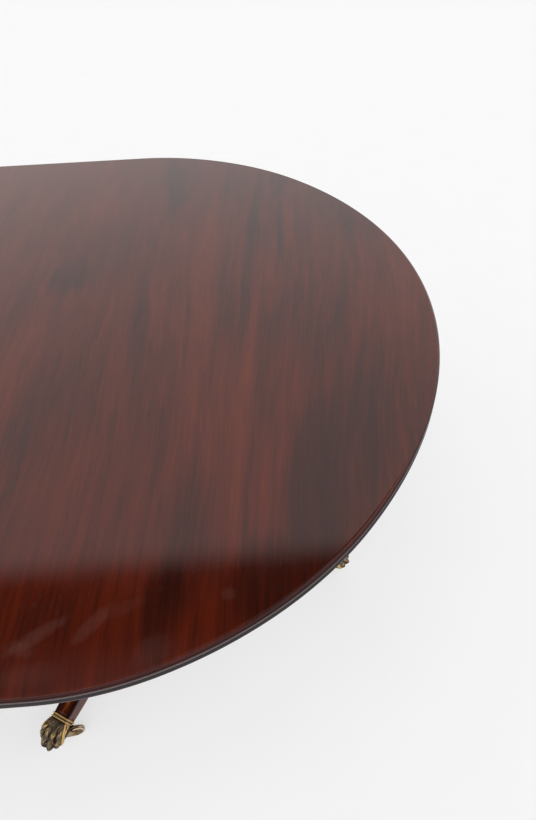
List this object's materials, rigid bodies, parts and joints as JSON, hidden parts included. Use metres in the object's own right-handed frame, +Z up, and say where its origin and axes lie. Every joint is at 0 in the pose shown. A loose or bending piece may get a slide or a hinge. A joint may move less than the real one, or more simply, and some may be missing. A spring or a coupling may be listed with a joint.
{
  "type": "triple pedestal dining table",
  "caption": "Long dining table with D-shaped reeded ends on turned columns with splayed legs, paw feet and castors, and loose leaves held by pegs and clips.",
  "frame": {"origin": "on the floor under the middle of the table", "axes": "+X along the table's length towards the pictured end, +Y to the back of the picture, +Z up"},
  "size_m": [3.799, 1.12, 0.76],
  "materials": {
    "mahogany": "polished",
    "peg_wood": "satin",
    "paw_brass": "patinated",
    "castor_brass": "worn",
    "clip_brass": "satin",
    "iron": "dull"
  },
  "bodies": {
    "centre": {"centre_top": "mahogany", "centre_block": "mahogany", "centre_bearers": "mahogany", "centre_column": "mahogany", "centre_legs": "mahogany", "centre_paw_caps": "paw_brass", "centre_clip_keepers": "clip_brass", "centre_screws": "iron"},
    "east_end": {"east_end_top": "mahogany", "east_end_block": "mahogany", "east_end_bearers": "mahogany", "east_end_column": "mahogany", "east_end_legs": "mahogany", "east_end_paw_caps": "paw_brass", "east_end_clip_keepers": "clip_brass", "east_end_screws": "iron"},
    "west_end": {"west_end_top": "mahogany", "west_end_block": "mahogany", "west_end_bearers": "mahogany", "west_end_column": "mahogany", "west_end_legs": "mahogany", "west_end_paw_caps": "paw_brass", "west_end_clip_keepers": "clip_brass", "west_end_screws": "iron"},
    "east_leaf": {"east_leaf": "mahogany", "east_leaf_pegs": "peg_wood", "east_leaf_clip_guides": "clip_brass", "east_leaf_screws": "iron"},
    "west_leaf": {"west_leaf": "mahogany", "west_leaf_pegs": "peg_wood", "west_leaf_clip_guides": "clip_brass", "west_leaf_screws": "iron"},
    "east_inner_clip_front": {"east_inner_clip_front": "clip_brass"},
    "east_inner_clip_back": {"east_inner_clip_back": "clip_brass"},
    "east_outer_clip_front": {"east_outer_clip_front": "clip_brass"},
    "east_outer_clip_back": {"east_outer_clip_back": "clip_brass"},
    "west_inner_clip_front": {"west_inner_clip_front": "clip_brass"},
    "west_inner_clip_back": {"west_inner_clip_back": "clip_brass"},
    "west_outer_clip_front": {"west_outer_clip_front": "clip_brass"},
    "west_outer_clip_back": {"west_outer_clip_back": "clip_brass"},
    "east_castor_horn_1": {"east_castor_horn_1": "castor_brass"},
    "east_castor_wheel_1": {"east_castor_wheel_1": "castor_brass"},
    "east_castor_horn_2": {"east_castor_horn_2": "castor_brass"},
    "east_castor_wheel_2": {"east_castor_wheel_2": "castor_brass"},
    "east_castor_horn_3": {"east_castor_horn_3": "castor_brass"},
    "east_castor_wheel_3": {"east_castor_wheel_3": "castor_brass"},
    "centre_castor_horn_1": {"centre_castor_horn_1": "castor_brass"},
    "centre_castor_wheel_1": {"centre_castor_wheel_1": "castor_brass"},
    "centre_castor_horn_2": {"centre_castor_horn_2": "castor_brass"},
    "centre_castor_wheel_2": {"centre_castor_wheel_2": "castor_brass"},
    "centre_castor_horn_3": {"centre_castor_horn_3": "castor_brass"},
    "centre_castor_wheel_3": {"centre_castor_wheel_3": "castor_brass"},
    "centre_castor_horn_4": {"centre_castor_horn_4": "castor_brass"},
    "centre_castor_wheel_4": {"centre_castor_wheel_4": "castor_brass"},
    "west_castor_horn_1": {"west_castor_horn_1": "castor_brass"},
    "west_castor_wheel_1": {"west_castor_wheel_1": "castor_brass"},
    "west_castor_horn_2": {"west_castor_horn_2": "castor_brass"},
    "west_castor_wheel_2": {"west_castor_wheel_2": "castor_brass"},
    "west_castor_horn_3": {"west_castor_horn_3": "castor_brass"},
    "west_castor_wheel_3": {"west_castor_wheel_3": "castor_brass"}
  },
  "joints": [
    {"name": "east_leaf_slide", "type": "slide", "parent": "centre", "child": "east_leaf", "axis": [1, 0, 0], "range_m": [0, 0.1]},
    {"name": "east_end_slide", "type": "slide", "parent": "east_leaf", "child": "east_end", "axis": [1, 0, 0], "range_m": [0, 0.65]},
    {"name": "west_leaf_slide", "type": "slide", "parent": "centre", "child": "west_leaf", "axis": [-1, 0, 0], "range_m": [0, 0.1]},
    {"name": "west_end_slide", "type": "slide", "parent": "west_leaf", "child": "west_end", "axis": [-1, 0, 0], "range_m": [0, 0.65]},
    {"name": "east_inner_clip_front_slide", "type": "slide", "parent": "east_leaf", "child": "east_inner_clip_front", "axis": [0, 1, 0], "range_m": [0, 0.044]},
    {"name": "east_inner_clip_back_slide", "type": "slide", "parent": "east_leaf", "child": "east_inner_clip_back", "axis": [0, -1, 0], "range_m": [0, 0.044]},
    {"name": "east_outer_clip_front_slide", "type": "slide", "parent": "east_leaf", "child": "east_outer_clip_front", "axis": [0, 1, 0], "range_m": [0, 0.044]},
    {"name": "east_outer_clip_back_slide", "type": "slide", "parent": "east_leaf", "child": "east_outer_clip_back", "axis": [0, -1, 0], "range_m": [0, 0.044]},
    {"name": "west_inner_clip_front_slide", "type": "slide", "parent": "west_leaf", "child": "west_inner_clip_front", "axis": [0, 1, 0], "range_m": [0, 0.044]},
    {"name": "west_inner_clip_back_slide", "type": "slide", "parent": "west_leaf", "child": "west_inner_clip_back", "axis": [0, -1, 0], "range_m": [0, 0.044]},
    {"name": "west_outer_clip_front_slide", "type": "slide", "parent": "west_leaf", "child": "west_outer_clip_front", "axis": [0, 1, 0], "range_m": [0, 0.044]},
    {"name": "west_outer_clip_back_slide", "type": "slide", "parent": "west_leaf", "child": "west_outer_clip_back", "axis": [0, -1, 0], "range_m": [0, 0.044]},
    {"name": "east_castor_swivel_1", "type": "hinge", "parent": "east_end", "child": "east_castor_horn_1", "pos_m": [1.7911, 0, 0], "axis": [0, 0, 1], "continuous": true},
    {"name": "east_castor_swivel_2", "type": "hinge", "parent": "east_end", "child": "east_castor_horn_2", "pos_m": [1.2241, 0.32736, 0], "axis": [0, 0, 1], "continuous": true},
    {"name": "east_castor_swivel_3", "type": "hinge", "parent": "east_end", "child": "east_castor_horn_3", "pos_m": [1.2241, -0.32736, 0], "axis": [0, 0, 1], "continuous": true},
    {"name": "centre_castor_swivel_1", "type": "hinge", "parent": "centre", "child": "centre_castor_horn_1", "pos_m": [0.26729, 0.26729, 0], "axis": [0, 0, 1], "continuous": true},
    {"name": "centre_castor_swivel_2", "type": "hinge", "parent": "centre", "child": "centre_castor_horn_2", "pos_m": [-0.26729, 0.26729, 0], "axis": [0, 0, 1], "continuous": true},
    {"name": "centre_castor_swivel_3", "type": "hinge", "parent": "centre", "child": "centre_castor_horn_3", "pos_m": [-0.26729, -0.26729, 0], "axis": [0, 0, 1], "continuous": true},
    {"name": "centre_castor_swivel_4", "type": "hinge", "parent": "centre", "child": "centre_castor_horn_4", "pos_m": [0.26729, -0.26729, 0], "axis": [0, 0, 1], "continuous": true},
    {"name": "west_castor_swivel_1", "type": "hinge", "parent": "west_end", "child": "west_castor_horn_1", "pos_m": [-1.7911, 0, 0], "axis": [0, 0, 1], "continuous": true},
    {"name": "west_castor_swivel_2", "type": "hinge", "parent": "west_end", "child": "west_castor_horn_2", "pos_m": [-1.2241, -0.32736, 0], "axis": [0, 0, 1], "continuous": true},
    {"name": "west_castor_swivel_3", "type": "hinge", "parent": "west_end", "child": "west_castor_horn_3", "pos_m": [-1.2241, 0.32736, 0], "axis": [0, 0, 1], "continuous": true},
    {"name": "east_castor_roll_1", "type": "hinge", "parent": "east_castor_horn_1", "child": "east_castor_wheel_1", "pos_m": [1.77201, 0.01909, 0.015], "axis": [-0.7071, -0.7071, 0], "continuous": true},
    {"name": "east_castor_roll_2", "type": "hinge", "parent": "east_castor_horn_2", "child": "east_castor_wheel_2", "pos_m": [1.21711, 0.30128, 0.015], "axis": [0.9659, -0.2588, 0], "continuous": true},
    {"name": "east_castor_roll_3", "type": "hinge", "parent": "east_castor_horn_3", "child": "east_castor_wheel_3", "pos_m": [1.25018, -0.32037, 0.015], "axis": [-0.2588, 0.9659, 0], "continuous": true},
    {"name": "centre_castor_roll_1", "type": "hinge", "parent": "centre_castor_horn_1", "child": "centre_castor_wheel_1", "pos_m": [0.24029, 0.26729, 0.015], "axis": [0, -1, 0], "continuous": true},
    {"name": "centre_castor_roll_2", "type": "hinge", "parent": "centre_castor_horn_2", "child": "centre_castor_wheel_2", "pos_m": [-0.26729, 0.24029, 0.015], "axis": [1, 0, 0], "continuous": true},
    {"name": "centre_castor_roll_3", "type": "hinge", "parent": "centre_castor_horn_3", "child": "centre_castor_wheel_3", "pos_m": [-0.24029, -0.26729, 0.015], "axis": [0, 1, 0], "continuous": true},
    {"name": "centre_castor_roll_4", "type": "hinge", "parent": "centre_castor_horn_4", "child": "centre_castor_wheel_4", "pos_m": [0.26729, -0.24029, 0.015], "axis": [-1, 0, 0], "continuous": true},
    {"name": "west_castor_roll_1", "type": "hinge", "parent": "west_castor_horn_1", "child": "west_castor_wheel_1", "pos_m": [-1.77201, -0.01909, 0.015], "axis": [0.7071, 0.7071, 0], "continuous": true},
    {"name": "west_castor_roll_2", "type": "hinge", "parent": "west_castor_horn_2", "child": "west_castor_wheel_2", "pos_m": [-1.21711, -0.30128, 0.015], "axis": [-0.9659, 0.2588, 0], "continuous": true},
    {"name": "west_castor_roll_3", "type": "hinge", "parent": "west_castor_horn_3", "child": "west_castor_wheel_3", "pos_m": [-1.25018, 0.32037, 0.015], "axis": [0.2588, -0.9659, 0], "continuous": true}
  ]
}
